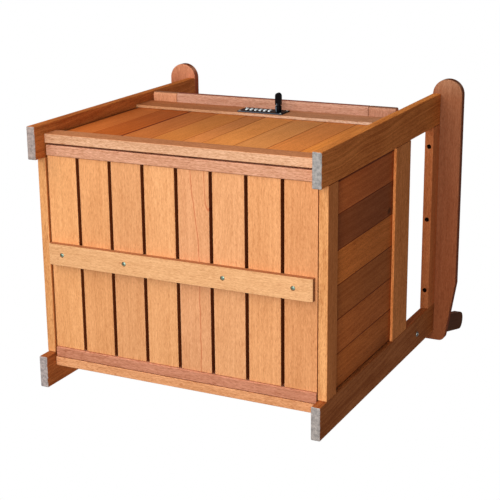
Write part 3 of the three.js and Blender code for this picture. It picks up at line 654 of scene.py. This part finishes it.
def turned(name, profile, place, outward, material, body, sink=None, segments=32, spin=0.0):
    """A piece turned about the line through place along outward.

    profile is (radius, height) from the middle of the outer end to the middle of the inner end. sink gives
    the depth of a recess at a point of the outer end.
    """
    mesh = bmesh.new()
    outer_end = max(height for _, height in profile) - 0.25 * profile[-2][0]
    rings = []
    for radius, height in profile:
        if radius == 0:
            depth = sink(0.0, 0.0) if sink and height > outer_end else 0.0
            rings.append([mesh.verts.new((0, 0, height - depth))])
            continue
        ring = []
        for i in range(segments):
            angle = 2 * math.pi * i / segments + spin
            x, y = radius * math.cos(angle), radius * math.sin(angle)
            depth = sink(x, y) if sink and height > outer_end else 0.0
            ring.append(mesh.verts.new((x, y, height - depth)))
        rings.append(ring)
    for first, second in zip(rings, rings[1:]):
        for i in range(segments):
            k = (i + 1) % segments
            if len(first) == 1:
                mesh.faces.new((first[0], second[i], second[k]))
            elif len(second) == 1:
                mesh.faces.new((first[i], second[0], first[k]))
            else:
                mesh.faces.new((first[i], second[i], second[k], first[k]))
    bmesh.ops.recalc_face_normals(mesh, faces=mesh.faces)
    data = bpy.data.meshes.new(name)
    mesh.to_mesh(data)
    mesh.free()
    data.materials.append(material)
    data.shade_smooth()
    data.set_sharp_from_angle(angle=math.radians(35))
    piece = bpy.data.objects.new(name, data)
    piece.matrix_world = Matrix.Translation(Vector(place)) @ (
        Vector(outward).to_track_quat("Z", "Y").to_matrix().to_4x4())
    bpy.context.scene.collection.objects.link(piece)
    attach(piece, body)
    return piece


HEAD_STEPS = (0, 0.12, 0.22, 0.32, 0.42, 0.52, 0.66, 0.8, 0.92)  # shares of the head's radius


def head_profile(radius, height, crown, shank, length):
    """A screw head with a crown and a bevelled rim, then its shank; height 0 is under the head."""
    top = [(radius * f, height + crown * (1 - f * f)) for f in HEAD_STEPS]
    rim = [(radius, height - 0.12 * radius), (radius, 0.0)]
    return [*top, *rim, (shank, 0.0), (shank, -length), (0, -length)]


DOWN = Vector((0, 0, -1))
UP = Vector((0, 0, 1))
FORWARD = Vector((0, -1, 0))
BACKWARD = Vector((0, 1, 0))
BATTEN_SCREW_X = (-248 * MM, -109 * MM, 99 * MM, 238 * MM)
BATTEN_HEAD = 4 * MM
COUNTERBORE = 3 * MM
ARM_SCREW_PITCH = 157 * MM
ARM_COUNTERBORE = 26 * MM
ARM_HEAD = 4.3 * MM
BOLT_Y = 493 * MM  # from the front of the legs
BOLT_Z = 519 * MM
BOLT_HEAD = 5.4 * MM
BOLT_GAP = 0.4 * MM
HINGE_HEAD = 2.6 * MM
HINGE_SCREWS = 8
HINGE_SCREW_PITCH = 64 * MM
HINGE_SCREW_EDGE = 6.5 * MM
HINGE_SCREW_Z = 1.7 * MM  # over the bottom of the leaf
LOCK_HEAD = 2.1 * MM
SPINDLE_Z = 7 * MM  # over the bottom of the cam


def add_batten_screws():
    low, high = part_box("floor_batten")
    shape = head_profile(radius=4.3 * MM, height=0.8 * MM, crown=2.1 * MM, shank=2 * MM, length=8 * MM)
    for i, x in enumerate(BATTEN_SCREW_X, 1):
        place = (x, (low.y + high.y) / 2, low.z + COUNTERBORE)
        turned(f"batten_screw_{i}", shape, place, DOWN, PLATED, "frame", cross(BATTEN_HEAD),
               spin=0.5 * i)


def add_arm_screws():
    middle = (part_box("front_leg_right")[0].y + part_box("rear_leg_right")[1].y) / 2
    shape = head_profile(radius=ARM_HEAD, height=2.2 * MM, crown=0.3 * MM, shank=1.9 * MM, length=14 * MM)
    for side in SIDES:
        low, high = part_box(f"arm_rail_{side}")
        for i in range(3):
            y = middle + (i - 1) * ARM_SCREW_PITCH
            place = ((low.x + high.x) / 2, y, low.z + ARM_COUNTERBORE)
            turned(f"arm_screw_{side}_{i + 1}", shape, place, DOWN, DARK_SCREW, "frame",
                   cross(ARM_HEAD), spin=0.7 * i)


def add_backrest_bolts():
    shape = head_profile(radius=BOLT_HEAD, height=2.0 * MM, crown=1.0 * MM, shank=2.8 * MM, length=0.4 * MM)
    for side, sign in (("left", -1), ("right", 1)):
        low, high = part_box(f"rear_leg_{side}")
        face = high.x if sign > 0 else low.x
        place = (face + sign * BOLT_GAP, LEG_FRONT + BOLT_Y, BOLT_Z)
        turned(f"backrest_bolt_{side}", shape, place, (sign, 0, 0), BOLT_STEEL, "frame",
               socket(BOLT_HEAD))


def add_hinge_screws():
    shape = head_profile(radius=HINGE_HEAD, height=0.35 * MM, crown=0.35 * MM, shank=1.6 * MM,
                         length=0.2 * MM)
    for leaf, body, sign in (("hinge_fixed_leaf", "frame", 1), ("hinge_lid_leaf", "lid", -1)):
        low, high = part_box(leaf)
        y = (high.y if sign > 0 else low.y) - sign * HINGE_SCREW_EDGE
        for i in range(HINGE_SCREWS):
            x = (i - (HINGE_SCREWS - 1) / 2) * HINGE_SCREW_PITCH
            turned(f"{leaf}_screw_{i + 1}", shape, (x, y, low.z + HINGE_SCREW_Z), UP, HINGE_STEEL, body,
                   cross(HINGE_HEAD), spin=0.9 * i)


def add_lock_details():
    shape = head_profile(radius=LOCK_HEAD, height=0.4 * MM, crown=0.35 * MM, shank=1.2 * MM,
                         length=0.2 * MM)
    low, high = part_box("lock_body")
    columns = (low.x + 3.2 * MM, high.x - 4.6 * MM)
    rows = (low.z + 4.2 * MM, high.z - 4.2 * MM)
    corners = [(x, low.y - 0.2 * MM, z) for x in columns for z in rows]
    for i, corner in enumerate(corners, 1):
        turned(f"lock_plate_screw_{i}", shape, corner, FORWARD, ZINC, "frame",
               cross(LOCK_HEAD), spin=0.8 * i)
    low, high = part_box("lid_strike")
    for i, x in enumerate((low.x + 3.5 * MM, high.x - 3.5 * MM), 1):
        place = (x, high.y - 6 * MM, high.z - 2.2 * MM)
        turned(f"strike_screw_{i}", shape, place, DOWN, ZINC, "lid", cross(LOCK_HEAD),
               spin=0.6 * i)
    low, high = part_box("lock_cam")
    left, right = (corner.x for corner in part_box("thumb_turn"))
    nut = [(0, 2.4 * MM), (3.4 * MM, 2.4 * MM), (4.2 * MM, 1.9 * MM), (4.2 * MM, 0.5 * MM),
           (3.4 * MM, 0), (0, 0)]
    place = ((left + right) / 2, high.y + 0.3 * MM, low.z + SPINDLE_Z)
    turned("spindle_nut", nut, place, BACKWARD, ZINC, "thumb_turn", segments=6)


NUMERAL_SIZE = 3.8 * MM
NUMERAL_RELIEF = 0.12 * MM
NUMERAL_DEPTH = 0.06 * MM  # how far its middle is below the wheel's flat


def digit_mesh(digit):
    """A raised digit, flat in XY, about the origin."""
    text = bpy.data.curves.new("digit", "FONT")
    text.body = str(digit)
    text.size = NUMERAL_SIZE
    text.align_x = "CENTER"
    text.align_y = "CENTER"
    text.extrude = NUMERAL_RELIEF
    text.resolution_u = 3
    carrier = bpy.data.objects.new("digit", text)
    shape = carrier.to_mesh().copy()
    carrier.to_mesh_clear()
    bpy.data.objects.remove(carrier)
    bpy.data.curves.remove(text)
    return shape


def add_numerals():
    """The digits 0 to 9 round each wheel, one on each flat."""
    right = Vector((1, 0, 0))
    for wheel in range(1, 7):
        low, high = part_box(f"number_wheel_{wheel}")
        radius = (high.z - low.z) / 2
        mesh = bmesh.new()
        for digit in range(10):
            angle = math.radians(36 * (digit + 0.5))
            outward = Vector((0, math.cos(angle), math.sin(angle)))
            turn = Matrix((right, outward.cross(right), outward)).transposed().to_4x4()
            shape = digit_mesh(digit)
            shape.transform(Matrix.Translation(outward * (radius - NUMERAL_DEPTH)) @ turn)
            mesh.from_mesh(shape)
            bpy.data.meshes.remove(shape)
        data = bpy.data.meshes.new(f"wheel_numerals_{wheel}")
        mesh.to_mesh(data)
        mesh.free()
        data.materials.append(NUMERAL)
        piece = bpy.data.objects.new(data.name, data)
        piece.location = (low + high) / 2
        bpy.context.scene.collection.objects.link(piece)
        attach(piece, f"number_wheel_{wheel}")


# ---------------------------------------------------------------- camera, light and stage


CAMERA_PLACE = Vector((1.11299, LEG_FRONT - 0.44932, -1.92774))
CAMERA_RIGHT = Vector((0.88396, 0.01785, 0.46722))
CAMERA_UP = Vector((-0.11465, -0.96049, 0.25361))


def add_camera():
    """The photograph looks up at the chair's underside; the chair's front is up in the picture."""
    data = bpy.data.cameras.new("camera")
    data.sensor_width = 36.0
    data.lens = 92.14
    data.shift_x = 0.085
    data.shift_y = -0.0134
    camera = bpy.data.objects.new("camera", data)
    bpy.context.scene.collection.objects.link(camera)
    right = CAMERA_RIGHT.normalized()
    back = right.cross(CAMERA_UP).normalized()
    turn = Matrix((right, back.cross(right), back)).transposed().to_4x4()
    camera.matrix_world = Matrix.Translation(CAMERA_PLACE) @ turn
    bpy.context.scene.camera = camera


WARM_WHITE = (1.0, 0.98, 0.95)
SOFT_WHITE = (1.0, 0.98, 0.96)
WORLD_FILL = 0.14
WORLD_SHEEN = 0.15  # what a glossy surface sees of the world
WORLD_BACKDROP = 1.0  # what the camera sees of it


def add_light(name, place, size, power, colour, shine=True):
    data = bpy.data.lights.new(name, "AREA")
    data.shape = "DISK"
    data.size = size
    data.energy = power
    data.color = colour
    light = bpy.data.objects.new(name, data)
    light.location = place
    light.visible_glossy = shine
    centre = (cad_bounds[0] + cad_bounds[1]) / 2
    light.rotation_euler = (centre - light.location).to_track_quat("-Z", "Y").to_euler()
    bpy.context.scene.collection.objects.link(light)


def add_lights():
    add_light("key", Vector((-1.2, -2.5, -1.3)), 3.2, 72.0, WARM_WHITE)
    add_light("under", Vector((0.8, -0.75, -2.8)), 1.8, 66.0, WARM_WHITE)
    add_light("top", Vector((-0.7, 0.6, 3.4)), 2.0, 70.0, SOFT_WHITE, shine=False)
    add_light("rear", Vector((0.6, 3.2, 1.6)), 2.0, 60.0, SOFT_WHITE, shine=False)


def add_world():
    """A white backdrop for the camera that adds only a little light to the object."""
    world = bpy.data.worlds.new("studio")
    world.use_nodes = True
    background = world.node_tree.nodes["Background"]
    background.inputs["Color"].default_value = (1, 1, 1, 1)
    links = world.node_tree.links
    path = world.node_tree.nodes.new("ShaderNodeLightPath")
    dim = world.node_tree.nodes.new("ShaderNodeMapRange")
    dim.inputs["To Min"].default_value = WORLD_FILL
    dim.inputs["To Max"].default_value = WORLD_SHEEN
    links.new(path.outputs["Is Glossy Ray"], dim.inputs["Value"])
    strength = world.node_tree.nodes.new("ShaderNodeMapRange")
    strength.inputs["To Max"].default_value = WORLD_BACKDROP
    links.new(path.outputs["Is Camera Ray"], strength.inputs["Value"])
    links.new(dim.outputs["Result"], strength.inputs["To Min"])
    links.new(strength.outputs["Result"], background.inputs["Strength"])
    bpy.context.scene.world = world
    bpy.context.scene.view_settings.view_transform = "Standard"


FLOOR_HALF = 12.0
FLOOR_Z = -0.5 * MM
FLOOR_DARK = (0.80, 0.80, 0.79)
FLOOR_LIGHT = (0.86, 0.86, 0.85)
FLOOR_GLOW = (0.84, 0.84, 0.83, 1)


def floor_material():
    """Pale and slightly cloudy from above, and clear from below."""
    g = Graph("pale_floor")
    cloud = g.noise(g.stretched(g.split(g.coordinates.outputs["Object"]), 3.0), 3.0)
    g.feed(g.shader.inputs["Base Color"], g.mix(cloud, FLOOR_DARK, FLOOR_LIGHT))
    g.shader.inputs["Roughness"].default_value = 0.8
    g.shader.inputs["Emission Color"].default_value = FLOOR_GLOW
    g.shader.inputs["Emission Strength"].default_value = 0.35
    clear = g.tree.nodes.new("ShaderNodeBsdfTransparent")
    geometry = g.tree.nodes.new("ShaderNodeNewGeometry")
    choice = g.tree.nodes.new("ShaderNodeMixShader")
    links = g.tree.links
    links.new(geometry.outputs["Backfacing"], choice.inputs[0])
    links.new(g.shader.outputs[0], choice.inputs[1])
    links.new(clear.outputs[0], choice.inputs[2])
    links.new(choice.outputs[0], g.tree.nodes["Material Output"].inputs["Surface"])
    return g.material


def add_floor():
    """A pale floor that shows only from above, so that the chair can be seen from below."""
    mesh = bpy.data.meshes.new("floor")
    corners = [(x * FLOOR_HALF, y * FLOOR_HALF, FLOOR_Z) for x, y in ((-1, -1), (1, -1), (1, 1), (-1, 1))]
    mesh.from_pydata(corners, [], [(0, 1, 2, 3)])
    mesh.materials.append(floor_material())
    floor = bpy.data.objects.new("floor", mesh)
    bpy.context.scene.collection.objects.link(floor)
    floor.visible_shadow = False
    floor.visible_diffuse = False
    floor.visible_glossy = False


dress_frame()
dress_panels()
dress_floor()
dress_lid()
dress_backrest()
dress_metal()
add_batten_screws()
add_arm_screws()
add_backrest_bolts()
add_hinge_screws()
add_lock_details()
add_numerals()
add_camera()
add_lights()
add_world()
add_floor()
